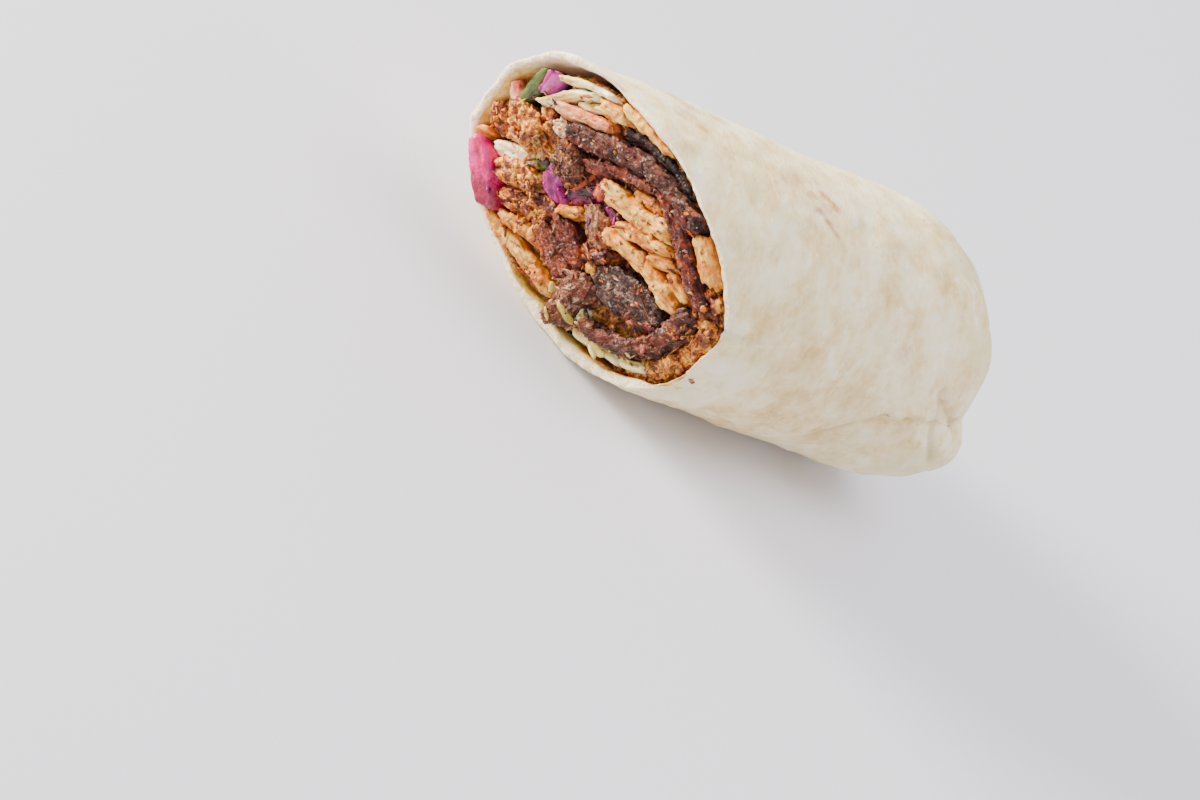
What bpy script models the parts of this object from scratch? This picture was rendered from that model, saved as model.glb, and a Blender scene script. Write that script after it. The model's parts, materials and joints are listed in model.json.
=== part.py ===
"""Half of a shawarma wrap, cut on the bias and lying on its side.

The flatbread is a tube that is folded shut at +X and open at its slanting cut, towards -X.
The filling shows at the cut: each piece is a strip that runs from the cut into the wrap,
and behind the strips one solid holds the filling that nothing shows of.
Pieces are placed on the round section of the wrap as it is seen facing the cut:
"across" runs to the right and "up" runs upwards, in millimetres from the wrap's axis.
"""

import math
import random

import bmesh
import bpy
from mathutils import Vector

MM = 0.001

# The wrap: its size, its slanting cut and how it lies.
AXIS_HEIGHT = 31.0
CUT_LEAN_Y = -0.768
CUT_LEAN_Z = -0.217
SECTION_TURN = math.radians(50)
STRAIGHT_TO = 68.0
CLOSED_END = 107.5
FILLING_TO = 52.0

# The underside is pressed nearly flat. It rests on three spots, given as x and y, and round them
# it is a hair's breadth hollow, so that it stands still.
REST_SPOTS = ((39.3, -9.0), (40.8, 5.6), (79.1, 5.5))
REST_SIDEWAYS = 2.0
REST_RADIUS = 2.0
REST_RISE_TO = 5.5
REST_HOLLOW = 0.35

# The middle of the whole wrap, which stands over the origin, from the middle of the cut.
MIDDLE_X = 41.05
MIDDLE_Y = -0.25

# Bulges and flats of the round outline at the cut: angle in degrees, radius in millimetres.
CUT_OUTLINE = (
    (0, 31.0), (25, 32.2), (50, 33.8), (80, 32.2), (110, 31.6), (140, 32.2), (165, 32.6),
    (190, 31.4), (215, 31.8), (235, 32.2), (262, 31.2), (290, 29.4), (318, 30.8), (345, 31.0),
)
BODY_OUTLINE = ((0, 32.2), (50, 32.0), (140, 32.7), (190, 32.6), (230, 32.4), (300, 32.0))
BODY_FROM = 45.0

# The rim is torn a little unevenly: waves round it, depth in millimetres, start in degrees.
RIM_WAVES = ((5, 0.45, 0), (11, 0.3, 40))

# How square the closed end is at each angle: 2 is a round dome, more is a sharper corner.
END_SQUARENESS = (
    (0, 3.4), (50, 2.4), (100, 2.6), (140, 3.2), (168, 3.8), (176, 5.5), (184, 8.0), (192, 6.0),
    (200, 4.6), (212, 4.0), (230, 3.2), (300, 2.8), (345, 4.6),
)
# How much farther the closed end reaches near its edge, by angle: less where it is tucked in.
END_REACH = ((0, 0.0), (140, 0.0), (164, -3.2), (172, -2.4), (184, -0.6), (225, 0.0))

# The flatbread's wall, its seam along the side and the flap folded in at the closed end.
BREAD_WALL = 1.6
INNER_LAYER = 1.5
INNER_LAYER_FROM = 212
INNER_LAYER_TO = 277
INNER_LAYER_BACK = 1.6
INNER_SEAM_SHARE = 0.4
SEAM_ANGLE = 163
SEAM_STEP = 0.9
SEAM_TO = 48.0
SEAM_FADE = 14.0
SEAM_SPREAD = (20, 90)
FLAP_STEP = 1.1
FLAP_LINE = ((64.0, 198), (70.0, 184), (75.0, 174), (79.0, 169))
FLAP_TO = 250
FLAP_RISE = 5.0
FLAP_FADE = (90.0, 100.0)
FLAP_SPREAD = (16, 55)
EDGE_WIDTH = 1.5
EDGE_LINES = (90, 280)
EDGE_AT_SEAM = 165
EDGE_AT_FLAP = 180
EDGE_NEXT = 5
EDGE_TURN = 10.0
EAR_ANGLE = 203
EAR_WIDTH = 24
EAR_BULGE = 1.9
EAR_ALONG = (66.0, 92.0)

# The closed end: the upper sheet is folded down over the lower one, from corner to corner.
END_THICKNESS = 7.0
FOLD_FROM = 191
FOLD_TO = 352
FOLD_STEP = 1.5
FOLD_STEP_ALONG = (0.75, 0.95)
FOLD_SINK = 4.5
INNER_FOLD_SINK = 2.25
PLEATS = ((169, 5, 1.1), (224, 8, 0.6), (344, 8, 1.2), (6, 8, 0.9), (30, 9, 0.5))
PLEATS_ALONG = (80.0, 97.0)

BREAD_STEPS_ROUND = 72
BREAD_STEPS_ALONG = 9
BREAD_STEP_BIAS = 0.9
INNER_STEPS = (0.0, 0.35, 0.7, 1.0)
END_RINGS = (0.14, 0.28, 0.42, 0.55, 0.67, 0.78, 0.87, 0.94)
END_FACE_RINGS = (0.76, 0.52, 0.28)
INNER_END_RINGS = (0.45, 0.75, 0.92)
CORE_STEPS_ROUND = 36

PIECE_GAP = 0.36
WALL_GAP = 0.35
CORE_INSET = 2.4
FACE_ROUNDING = 0.5
FACE_ROUNDING_SHARE = 0.14
FACE_ROUNDING_DEPTH = 0.9
FACE_ROUGHNESS = 0.25
FACE_LEAST_SHARE = 0.6
FACE_DOME = 0.3
OUTLINE_SPREAD = (0.92, 1.12)
OUTLINE_STEP = 3.2
OUTLINE_MOST_STEPS = 7
OUTLINE_LEAST = 0.12
REACH_STEP = 0.08
SHARP_ANGLE = math.radians(40)
NEARLY_ZERO = 1e-6

# Colour and roughness of each kind of food.
KINDS = {
    "flatbread": ((0.80, 0.70, 0.56), 0.85),
    "beef": ((0.16, 0.07, 0.045), 0.60),
    "char": ((0.05, 0.025, 0.018), 0.65),
    "chicken": ((0.62, 0.36, 0.15), 0.55),
    "crisp": ((0.40, 0.17, 0.05), 0.50),
    "cabbage": ((0.62, 0.52, 0.24), 0.45),
    "red_cabbage": ((0.24, 0.02, 0.12), 0.40),
    "turnip": ((0.62, 0.03, 0.16), 0.35),
    "pepper": ((0.80, 0.36, 0.02), 0.40),
    "pickle": ((0.10, 0.12, 0.02), 0.40),
    "tomato": ((0.72, 0.28, 0.16), 0.40),
    "onion": ((0.70, 0.58, 0.42), 0.40),
    "core": ((0.34, 0.20, 0.10), 0.60),
}

# Each piece at the cut: kind, middle line as (across, up), width, and how far it stands out.
PIECES = {
    "tomato_scrap": ("tomato", ((-17.6, 23.6), (-17.4, 20.4)), 3.6, -2.0),
    "pickle_slice": ("pickle", ((-7.4, 28.2), (-10.4, 25.2), (-14.2, 20.8)), 2.6, 0.0),
    "red_cabbage_top": ("red_cabbage", ((-4.8, 28.2), (-8.0, 24.4)), 1.7, 1.0),
    "cabbage_shred_1": ("cabbage", ((-2.2, 28.2), (3.6, 28.6), (9.2, 27.4)), 1.3, 0.6),
    "cabbage_shred_2": ("cabbage", ((-9.6, 21.8), (-5.6, 23.4), (-0.6, 25.8), (4.6, 26.6)), 1.7, 0.2),
    "cabbage_shred_3": ("cabbage", ((0.6, 23.8), (5.8, 24.4)), 1.5, -0.4),
    "chicken_pink": ("chicken", ((-3.4, 21.8), (2.2, 21.4), (7.4, 21.2)), 2.8, 1.4),
    "chicken_top_1": ("chicken", ((8.0, 25.2), (11.4, 24.6)), 3.2, 0.8),
    "chicken_top_2": ("chicken", ((13.4, 25.8), (17.4, 23.8), (20.6, 21.0)), 2.9, 0.4),
    "beef_charred_top": (
        "char", ((11.4, 21.4), (16.6, 20.6), (21.4, 17.6), (24.8, 13.0)), 2.6, -1.2,
    ),
    "chicken_crisp_1": ("crisp", ((-14.2, 17.6), (-12.8, 13.6)), 6.6, 1.2),
    "chicken_crisp_2": ("crisp", ((-21.8, 17.4), (-21.6, 14.6)), 4.2, -1.4),
    "chicken_pale_top": ("chicken", ((-18.6, 13.0), (-16.8, 12.6)), 2.2, -0.4),
    "pepper_sliver": ("pepper", ((-26.8, 11.8), (-24.6, 12.2)), 1.6, 0.4),
    "chicken_crisp_3": ("crisp", ((-9.2, 19.6), (-7.6, 14.8)), 3.4, -0.6),
    "beef_crumb": ("beef", ((-4.6, 18.2), (-5.2, 17.2)), 4.2, 0.4),
    "onion_white": ("onion", ((-22.4, 9.2), (-18.6, 9.6), (-15.0, 9.6)), 3.6, -0.4),
    "turnip": ("turnip", ((-26.0, 7.4), (-26.2, 2.8), (-26.0, -1.8)), 5.4, 2.8),
    "chicken_crumb_1": ("crisp", ((-20.2, 4.8), (-15.8, 4.6)), 5.4, 1.0),
    "chicken_crumb_2": ("crisp", ((-21.0, -0.8), (-15.7, -0.4), (-11.4, -0.2)), 4.6, 0.2),
    "pickle_leaf": ("pickle", ((-12.8, 9.0), (-10.6, 9.4)), 2.8, -0.6),
    "red_cabbage_1": ("red_cabbage", ((-9.0, 8.6), (-10.8, 5.6), (-9.4, 2.6)), 2.9, 0.4),
    "red_cabbage_2": ("red_cabbage", ((-5.6, 4.2), (-1.4, 6.4), (2.4, 7.0)), 4.2, -1.8),
    "red_cabbage_3": ("red_cabbage", ((3.8, 3.8), (5.4, 2.2)), 2.8, -1.0),
    "beef_chunk": ("beef", ((-3.2, 13.4), (-3.8, 11.8), (-4.4, 9.6)), 5.6, 2.0),
    "beef_outer": (
        "beef", ((0.4, 17.4), (5.0, 17.6), (11.6, 16.8), (18.2, 15.0), (22.6, 11.6), (26.2, 7.4)),
        4.8, 2.2,
    ),
    "beef_short": ("beef", ((1.6, 12.2), (6.6, 12.8), (12.0, 12.8), (16.0, 12.2)), 2.7, 0.6),
    "beef_inner": (
        "beef", ((19.2, 11.8), (21.2, 8.8), (22.6, 4.4), (23.0, -0.6), (23.8, -5.2), (25.4, -9.0)),
        3.3, 1.8,
    ),
    "chicken_slab": ("chicken", ((6.2, 7.8), (9.8, 6.2), (14.0, 4.6), (18.4, 3.6)), 4.6, 1.6),
    "chicken_small_1": ("chicken", ((12.4, 9.0), (16.4, 8.2)), 2.6, -0.4),
    "chicken_strip_1": ("chicken", ((8.0, 1.4), (12.6, 0.6), (18.4, 0.2)), 2.9, 1.8),
    "chicken_small_2": ("chicken", ((14.8, -2.6), (18.8, -2.8)), 2.8, 0.8),
    "chicken_strip_2": (
        "chicken", ((5.0, -1.6), (9.2, -2.8), (12.8, -5.0), (15.4, -7.8), (17.2, -11.0)), 3.4, 2.0,
    ),
    "chicken_small_3": ("chicken", ((19.0, -5.6), (20.8, -8.4)), 3.0, 0.6),
    "chicken_right": ("chicken", ((27.8, 4.2), (27.8, 1.2), (28.0, -2.2)), 3.9, 1.0),
    "chicken_small_4": ("crisp", ((27.2, -6.2), (27.4, -7.0)), 2.8, -0.6),
    "beef_slab_1": ("beef", ((-12.6, -4.6), (-11.6, -7.6), (-9.8, -11.2)), 5.0, 1.8),
    "beef_slab_2": ("beef", ((-7.2, -2.6), (-6.2, -5.4), (-5.0, -8.4)), 4.4, 2.4),
    "beef_gray": ("beef", ((0.4, 2.4), (1.0, 0.2), (0.6, -2.6)), 4.6, 0.6),
    "chicken_flake_1": ("chicken", ((-7.0, 0.8), (-3.6, 1.4)), 2.2, 1.2),
    "chicken_flake_2": ("crisp", ((-1.6, -5.8), (2.2, -6.0)), 3.2, 0.8),
    "chicken_cube": ("chicken", ((-2.0, -9.4), (-1.2, -9.6)), 2.6, 1.2),
    "beef_charred": ("char", ((3.4, -11.6), (7.0, -12.4), (10.6, -14.2)), 9.0, 1.8),
    "beef_low": ("beef", ((-4.0, -12.4), (-9.2, -17.6), (-14.6, -23.6)), 4.6, 2.2),
    "beef_bottom": (
        "beef", ((-4.6, -22.0), (0.0, -23.4), (6.2, -22.8), (12.8, -20.0), (18.2, -16.0), (21.6, -12.2)),
        3.4, 2.2,
    ),
    "chicken_long": ("chicken", ((-26.6, -6.4), (-22.4, -9.8), (-18.0, -13.4), (-15.0, -16.6)), 3.8, 0.6),
    "chicken_pale": ("chicken", ((-22.6, -5.0), (-19.0, -5.6), (-16.8, -6.8)), 3.0, 1.4),
    "beef_thin": ("beef", ((-23.4, -12.4), (-20.2, -15.4), (-17.6, -17.8)), 1.7, -1.4),
    "cabbage_left": ("cabbage", ((-14.8, -19.2), (-13.0, -17.8)), 2.2, -0.8),
    "cabbage_bottom": ("cabbage", ((-9.8, -23.8), (-6.4, -25.2), (-2.0, -26.2)), 2.6, -1.6),
    "cabbage_scrap": ("cabbage", ((-8.4, -20.2), (-6.8, -18.4)), 2.2, -1.0),
    "cabbage_core": ("cabbage", ((1.4, -26.6), (5.4, -26.2)), 2.2, -1.0),
    "soaked_crumb": (
        "crisp", ((9.0, -25.2), (14.2, -23.2), (20.0, -18.6), (24.6, -12.6)), 3.4, -0.8,
    ),
}


def clear_scene():
    for old in list(bpy.data.objects):
        bpy.data.objects.remove(old, do_unlink=True)


def food_material(kind):
    colour, roughness = KINDS[kind]
    material = bpy.data.materials.new(kind)
    material.use_nodes = True
    shader = material.node_tree.nodes["Principled BSDF"]
    shader.inputs["Base Color"].default_value = (*colour, 1.0)
    shader.inputs["Roughness"].default_value = roughness
    material.diffuse_color = (*colour, 1.0)
    return material


def add_object(name, bm, material):
    """Turns the millimetre mesh into a named object in metres, standing on the floor."""
    for vert in bm.verts:
        vert.co = (vert.co + Vector((-MIDDLE_X, -MIDDLE_Y, AXIS_HEIGHT))) * MM
    bmesh.ops.recalc_face_normals(bm, faces=bm.faces)
    mesh = bpy.data.meshes.new(name)
    bm.to_mesh(mesh)
    bm.free()
    mesh.materials.append(material)
    mesh.shade_smooth()
    mesh.set_sharp_from_angle(angle=SHARP_ANGLE)
    item = bpy.data.objects.new(name, mesh)
    bpy.context.scene.collection.objects.link(item)
    return item


def blend_round(table, angle):
    """The value at an angle in degrees, eased between the table's own angles all the way round."""
    angle %= 360
    rows = list(table) + [(table[0][0] + 360, table[0][1])]
    if angle < rows[0][0]:
        angle += 360
    for (start, low), (stop, high) in zip(rows, rows[1:]):
        if start <= angle <= stop:
            share = (angle - start) / (stop - start)
            share = share * share * (3 - 2 * share)
            return low + (high - low) * share
    return rows[-1][1]


def blend_along(table, place):
    """The value at a place along X, straight between the table's own places."""
    if place <= table[0][0]:
        return table[0][1]
    for (start, low), (stop, high) in zip(table, table[1:]):
        if place <= stop:
            return low + (high - low) * (place - start) / (stop - start)
    return table[-1][1]


def ease(value, start, stop):
    share = min(max((value - start) / (stop - start), 0.0), 1.0)
    return share * share * (3 - 2 * share)


def cut_x(y, z):
    """Where the slanting cut meets a line along X at this place of the section."""
    return CUT_LEAN_Y * y + CUT_LEAN_Z * z


def turned(angle, radius):
    return radius * math.cos(math.radians(angle)), radius * math.sin(math.radians(angle))


def from_section(across, up):
    """A place seen facing the cut, as y and z about the wrap's axis."""
    cos, sin = math.cos(SECTION_TURN), math.sin(SECTION_TURN)
    return up * cos - across * sin, up * sin + across * cos


def apart(angle, other):
    return (angle - other + 180) % 360 - 180


def seam_drop(angle, x):
    """The outer layer ends at the seam, and below it the layer under it shows, a step lower."""
    below = apart(angle, SEAM_ANGLE)
    if not 0 < below <= SEAM_SPREAD[1]:
        return 0.0
    fade = 1.0 - ease(x, SEAM_TO - SEAM_FADE, SEAM_TO)
    return SEAM_STEP * fade * (1.0 - ease(below, *SEAM_SPREAD))


def flap_drop(angle, x):
    """The end flap comes out from under the outer layer along a slanting line."""
    if x < FLAP_LINE[0][0] or angle > FLAP_TO:
        return 0.0
    below = apart(angle, blend_along(FLAP_LINE, x))
    if below <= 0:
        return 0.0
    start = FLAP_LINE[0][0]
    fade = ease(x, start, start + FLAP_RISE) * (1.0 - ease(x, *FLAP_FADE))
    return FLAP_STEP * (1.0 - ease(below, *FLAP_SPREAD)) * fade


def pleat_drop(angle, x):
    """Pleats gather round the closed end's corners, and the folded ear bulges out beside them."""
    drop = 0.0
    for place, width, depth in PLEATS:
        near = apart(angle, place) / width
        drop += depth * math.exp(-near * near)
    ear = EAR_BULGE * math.exp(-((apart(angle, EAR_ANGLE) / EAR_WIDTH) ** 2))
    return drop * ease(x, *PLEATS_ALONG) - ear * ease(x, *EAR_ALONG)


def body_radius(angle, x):
    share = ease(x, 0, BODY_FROM)
    cut = blend_round(CUT_OUTLINE, angle)
    body = blend_round(BODY_OUTLINE, angle)
    return cut + (body - cut) * share


def mesh_angle(angle, x):
    """Shifts the mesh's long lines so that two of them run along the seam, then along the flap."""
    first, last = EDGE_LINES
    if not first < angle < last:
        return angle
    flap = blend_along(FLAP_LINE, x)
    shifted = []
    for line, edge in ((EDGE_AT_SEAM, SEAM_ANGLE), (EDGE_AT_FLAP, flap)):
        table = (first, first), (line, edge), (line + EDGE_NEXT, edge + EDGE_WIDTH), (last, last)
        shifted.append(blend_along(table, angle))
    at_seam, at_flap = shifted
    return at_seam + (at_flap - at_seam) * ease(x, SEAM_TO - EDGE_TURN, FLAP_LINE[0][0])


def underside(x, y):
    """The lowest that the skin reaches here: the floor at the rests, a little more round them."""
    away = min(math.hypot(x - spot_x, (y - spot_y) * REST_SIDEWAYS) for spot_x, spot_y in REST_SPOTS)
    return REST_HOLLOW * ease(away, REST_RADIUS, REST_RISE_TO) - AXIS_HEIGHT


def outer_point(angle, x, shrink=1.0):
    angle = mesh_angle(angle, x)
    radius = body_radius(angle, x) * shrink
    radius -= (seam_drop(angle, x) + flap_drop(angle, x) + pleat_drop(angle, x)) * shrink
    y, z = turned(angle, radius)
    return Vector((x, y, max(z, underside(x, y))))


def rim_x(angle, radius):
    y, z = turned(angle, radius)
    waves = (depth * math.sin(math.radians(count * angle + start)) for count, depth, start in RIM_WAVES)
    return cut_x(y, z) + sum(waves)


def wall(angle):
    """The wall's thickness, with the inner end of the bread lying inside it as a second layer."""
    if INNER_LAYER_FROM < angle < INNER_LAYER_TO:
        return BREAD_WALL + INNER_LAYER
    return BREAD_WALL


def end_shrink(angle, share):
    """How far the radius has shrunk at a share of the closed end's length."""
    square = blend_round(END_SQUARENESS, angle)
    return (1 - share**square) ** (1 / square)


def end_point(angle, shrink):
    """A point of the closed end's outer skin where the radius has shrunk to a share of itself."""
    place = mesh_angle(angle, CLOSED_END)
    square = blend_round(END_SQUARENESS, place)
    along = (1 - shrink**square) ** (1 / square)
    length = CLOSED_END - STRAIGHT_TO + blend_round(END_REACH, place) * shrink
    x = STRAIGHT_TO + length * along
    point = outer_point(angle, x, shrink)
    if FOLD_FROM < angle < FOLD_TO:
        point.x -= FOLD_STEP * ease(along, *FOLD_STEP_ALONG)
    point.z = max(point.z - FOLD_SINK * (1 - shrink), underside(point.x, point.y))
    return point


def ring(bm, points):
    return [bm.verts.new(point) for point in points]


def bridge(bm, first, second):
    count = len(first)
    for index in range(count):
        after = (index + 1) % count
        bm.faces.new((first[index], first[after], second[after], second[index]))


def close_with_pole(bm, edge):
    middle = sum((vert.co for vert in edge), Vector()) / len(edge)
    pole = bm.verts.new(middle)
    for index, vert in enumerate(edge):
        bm.faces.new((vert, edge[(index + 1) % len(edge)], pole))


def inner_end_point(angle, share, inset):
    """A point inside the closed end, a share of the way along it and inset from the bread."""
    x = STRAIGHT_TO + (CLOSED_END - END_THICKNESS - STRAIGHT_TO) * share
    shrink = end_shrink(angle, share)
    y, z = turned(angle, (body_radius(angle, x) - wall(angle) - inset) * shrink)
    return Vector((x, y, max(z - INNER_FOLD_SINK * (1 - shrink), BREAD_WALL - AXIS_HEIGHT)))


def make_flatbread():
    """The outer skin from the cut to the folded end, then the rim and the inner skin back in."""
    bm = bmesh.new()
    angles = [index * 360 / BREAD_STEPS_ROUND for index in range(BREAD_STEPS_ROUND)]
    rings = []
    for step in range(BREAD_STEPS_ALONG + 1):
        share = (step / BREAD_STEPS_ALONG) ** BREAD_STEP_BIAS
        points = []
        for angle in angles:
            start = rim_x(angle, body_radius(angle, 0))
            points.append(outer_point(angle, start + (STRAIGHT_TO - start) * share))
        rings.append(ring(bm, points))
    end_angles = [mesh_angle(angle, CLOSED_END) for angle in angles]
    shrinks = [[end_shrink(angle, share) for angle in end_angles] for share in END_RINGS]
    shrinks += [[shrink * share for shrink in shrinks[-1]] for share in END_FACE_RINGS]
    for row in shrinks:
        rings.append(ring(bm, [end_point(angle, shrink) for angle, shrink in zip(angles, row)]))
    for first, second in zip(rings, rings[1:]):
        bridge(bm, first, second)
    close_with_pole(bm, rings[-1])

    inner = [rings[0]]
    for share in INNER_STEPS:
        points = []
        for angle in angles:
            radius = body_radius(angle, 0) - wall(angle)
            start = rim_x(angle, radius)
            if wall(angle) > BREAD_WALL:
                start += INNER_LAYER_BACK
            x = start + (STRAIGHT_TO - start) * share
            place = mesh_angle(angle, x)
            thin = seam_drop(place, x) * INNER_SEAM_SHARE if share else 0.0
            y, z = turned(place, body_radius(place, x) - wall(place) - thin)
            points.append(Vector((x, y, max(z, BREAD_WALL - AXIS_HEIGHT))))
        inner.append(ring(bm, points))
    for share in INNER_END_RINGS:
        inner.append(ring(bm, [inner_end_point(angle, share, FLAP_STEP) for angle in angles]))
    for first, second in zip(inner, inner[1:]):
        bridge(bm, second, first)
    close_with_pole(bm, inner[-1])
    return add_object("flatbread", bm, food_material("flatbread"))


def make_core():
    """The packed filling behind the strips, out of sight, up to the folded end."""
    bm = bmesh.new()
    angles = [index * 360 / CORE_STEPS_ROUND for index in range(CORE_STEPS_ROUND)]
    rings = []
    for x in (FILLING_TO + PIECE_GAP, STRAIGHT_TO):
        points = []
        for angle in angles:
            y, z = turned(angle, body_radius(angle, x) - wall(angle) - CORE_INSET)
            points.append(Vector((x, y, max(z, BREAD_WALL + WALL_GAP - AXIS_HEIGHT))))
        rings.append(ring(bm, points))
    for share in INNER_END_RINGS:
        points = []
        for angle in angles:
            point = inner_end_point(angle, share, CORE_INSET)
            points.append(Vector((point.x - CORE_INSET * share, point.y, point.z + WALL_GAP)))
        rings.append(ring(bm, points))
    for first, second in zip(rings, rings[1:]):
        bridge(bm, first, second)
    close_with_pole(bm, rings[0])
    close_with_pole(bm, rings[-1])
    return add_object("filling_core", bm, food_material("core"))


def distance_to_line(place, line):
    """How far a place of the section is from a piece's middle line."""
    nearest = math.inf
    for start, stop in zip(line, line[1:]):
        run = stop - start
        share = min(max((place - start).dot(run) / run.length_squared, 0.0), 1.0)
        nearest = min(nearest, (place - start - run * share).length)
    return nearest


def within_bread(place):
    """True inside the bread's inner skin, all the way from the cut to the strips' far end."""
    y, z = from_section(place.x, place.y)
    angle = math.degrees(math.atan2(z, y)) % 360
    room = min(body_radius(angle, x) for x in (0, FILLING_TO / 2, FILLING_TO)) - wall(angle) - WALL_GAP
    if 0 < apart(angle, SEAM_ANGLE) < SEAM_SPREAD[1]:
        room -= INNER_SEAM_SHARE * SEAM_STEP
    floor = BREAD_WALL + WALL_GAP - AXIS_HEIGHT
    return place.length < room and z > floor


def reach(name, start, direction, limit, lines):
    """How far a piece reaches before it meets the bread or ground nearer to a neighbour."""
    own_line, own_half = lines[name]
    far = 0.0
    while far < limit:
        place = start + direction * (far + REACH_STEP)
        if not within_bread(place):
            break
        own = distance_to_line(place, own_line) - own_half
        others = (
            distance_to_line(place, line) - half for other, (line, half) in lines.items() if other != name
        )
        if min(others) - own < PIECE_GAP:
            break
        far += REACH_STEP
    return far


def spread_along(line):
    """Places spread evenly along a piece's middle line, each with the line's direction there."""
    runs = [(start, stop - start) for start, stop in zip(line, line[1:])]
    total = sum(run.length for _, run in runs)
    steps = max(2, min(OUTLINE_MOST_STEPS, round(total / OUTLINE_STEP) + 1))
    places = []
    for index in range(steps + 1):
        left = total * index / steps
        for start, run in runs:
            if left <= run.length + NEARLY_ZERO:
                places.append((start + run * (left / run.length), run.normalized()))
                break
            left -= run.length
    return places


def rays_round(places):
    """Directions out of the middle line: along one side, round its end, back, round its start."""
    rays = [(spot, Vector((-along.y, along.x))) for spot, along in places]
    for turn in (1, -1):
        spot, along = places[-1] if turn == 1 else places[0]
        side = Vector((-along.y, along.x)) * turn
        ahead = along * turn
        rays += [(spot, (ahead + side).normalized()), (spot, ahead), (spot, (ahead - side).normalized())]
        if turn == 1:
            rays += [(spot, Vector((along.y, -along.x))) for spot, along in reversed(places)]
    return rays


def close_on_spine(bm, edge, spine):
    """Fills a piece's end: quads between its sides and its middle line, fans at both tips."""
    last = len(spine) - 1
    near, tip = edge[:last + 1], edge[last + 1:last + 4]
    far, tail = edge[last + 4:2 * last + 5], edge[2 * last + 5:]
    far.reverse()
    for index in range(last):
        bm.faces.new((near[index], near[index + 1], spine[index + 1], spine[index]))
        bm.faces.new((spine[index], spine[index + 1], far[index + 1], far[index]))
    for fan, middle in (((near[-1], *tip, far[-1]), spine[-1]), ((far[0], *tail, near[0]), spine[0])):
        for first, second in zip(fan, fan[1:]):
            bm.faces.new((first, second, middle))


def make_piece(name, lines):
    """A strip of filling: its outline on the section, run in from a rounded, uneven cut face."""
    kind, _, width, proud = PIECES[name]
    rng = random.Random(name)
    places = spread_along(lines[name][0])
    rays = []
    for spot, direction in rays_round(places):
        limit = lines[name][1] * rng.uniform(*OUTLINE_SPREAD)
        rays.append((spot, direction, max(reach(name, spot, direction, limit, lines), OUTLINE_LEAST)))
    rounding = min(FACE_ROUNDING, width * FACE_ROUNDING_SHARE)

    def at_cut(spot, depth):
        y, z = from_section(spot.x, spot.y)
        return Vector((cut_x(y, z) - proud + depth + rng.uniform(-FACE_ROUGHNESS, FACE_ROUGHNESS), y, z))

    def at_back(spot):
        return Vector((FILLING_TO, *from_section(spot.x, spot.y)))

    bm = bmesh.new()
    face_edge = [
        at_cut(spot + direction * max(far - rounding, far * FACE_LEAST_SHARE), 0.0)
        for spot, direction, far in rays
    ]
    outline = [spot + direction * far for spot, direction, far in rays]
    rings = [
        ring(bm, face_edge),
        ring(bm, [at_cut(spot, FACE_ROUNDING_DEPTH) for spot in outline]),
        ring(bm, [at_back(spot) for spot in outline]),
    ]
    for first, second in zip(rings, rings[1:]):
        bridge(bm, first, second)
    close_on_spine(bm, rings[0], ring(bm, [at_cut(spot, -FACE_DOME) for spot, _ in places]))
    close_on_spine(bm, rings[-1], ring(bm, [at_back(spot) for spot, _ in places]))
    return add_object(name, bm, food_material(kind))


def make_filling():
    lines = {
        name: ([Vector(place) for place in line], width / 2) for name, (_, line, width, _) in PIECES.items()
    }
    for name in PIECES:
        make_piece(name, lines)


def main():
    clear_scene()
    make_flatbread()
    make_core()
    make_filling()


main()
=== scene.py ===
"""The looks of half a shawarma wrap: floury flatbread and a moist, uneven filling at the slanting cut.

Places are given as on the CAD part, in millimetres: "along" runs from the middle of the cut to the
closed end, an angle goes round the roll, and "across" and "up" lie on the cut as it is seen.
"""

import json
import math
import random

import bpy
from mathutils import Matrix, Vector, noise
from mathutils.bvhtree import BVHTree


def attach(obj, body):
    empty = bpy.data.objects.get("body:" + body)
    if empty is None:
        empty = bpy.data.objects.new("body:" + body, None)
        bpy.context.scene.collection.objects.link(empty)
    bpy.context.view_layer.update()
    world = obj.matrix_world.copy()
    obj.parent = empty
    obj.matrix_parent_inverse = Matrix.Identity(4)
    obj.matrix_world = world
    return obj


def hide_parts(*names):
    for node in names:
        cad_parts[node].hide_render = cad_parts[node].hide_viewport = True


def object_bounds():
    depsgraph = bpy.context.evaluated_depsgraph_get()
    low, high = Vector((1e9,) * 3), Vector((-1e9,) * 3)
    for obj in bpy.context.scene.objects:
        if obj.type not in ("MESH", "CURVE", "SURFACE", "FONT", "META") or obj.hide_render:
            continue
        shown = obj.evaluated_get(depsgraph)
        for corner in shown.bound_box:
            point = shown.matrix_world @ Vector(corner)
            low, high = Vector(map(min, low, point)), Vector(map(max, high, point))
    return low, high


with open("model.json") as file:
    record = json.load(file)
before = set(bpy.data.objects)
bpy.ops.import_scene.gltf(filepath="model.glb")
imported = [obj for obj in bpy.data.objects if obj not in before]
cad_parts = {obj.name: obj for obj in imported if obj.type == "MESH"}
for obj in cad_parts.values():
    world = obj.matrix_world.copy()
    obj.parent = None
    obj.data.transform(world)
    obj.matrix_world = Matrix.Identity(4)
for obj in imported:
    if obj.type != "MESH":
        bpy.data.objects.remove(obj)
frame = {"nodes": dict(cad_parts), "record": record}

CAD_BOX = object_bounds()
MM = 0.001

# The roll, as on the CAD part.
AXIS_HEIGHT = 31.0
MIDDLE = Vector((41.05, -0.25, 0.0))
CUT_LEAN_Y = -0.768
CUT_LEAN_Z = -0.217
SECTION_TURN = math.radians(50)
INSIDE_RADIUS = 29.0

# How far behind the cut each strip is worked finely, and the size of the clay it is worked in.
FINE_DEPTH = 6.5
FINE_CLAY = 0.23
# Points closer than this, in metres, become one.
MERGE = 1e-6


def on_roll(along, y, z):
    """A place about the roll's axis, in millimetres, as metres in the scene."""
    return (Vector((along, y, z + AXIS_HEIGHT)) - MIDDLE) * MM


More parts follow.
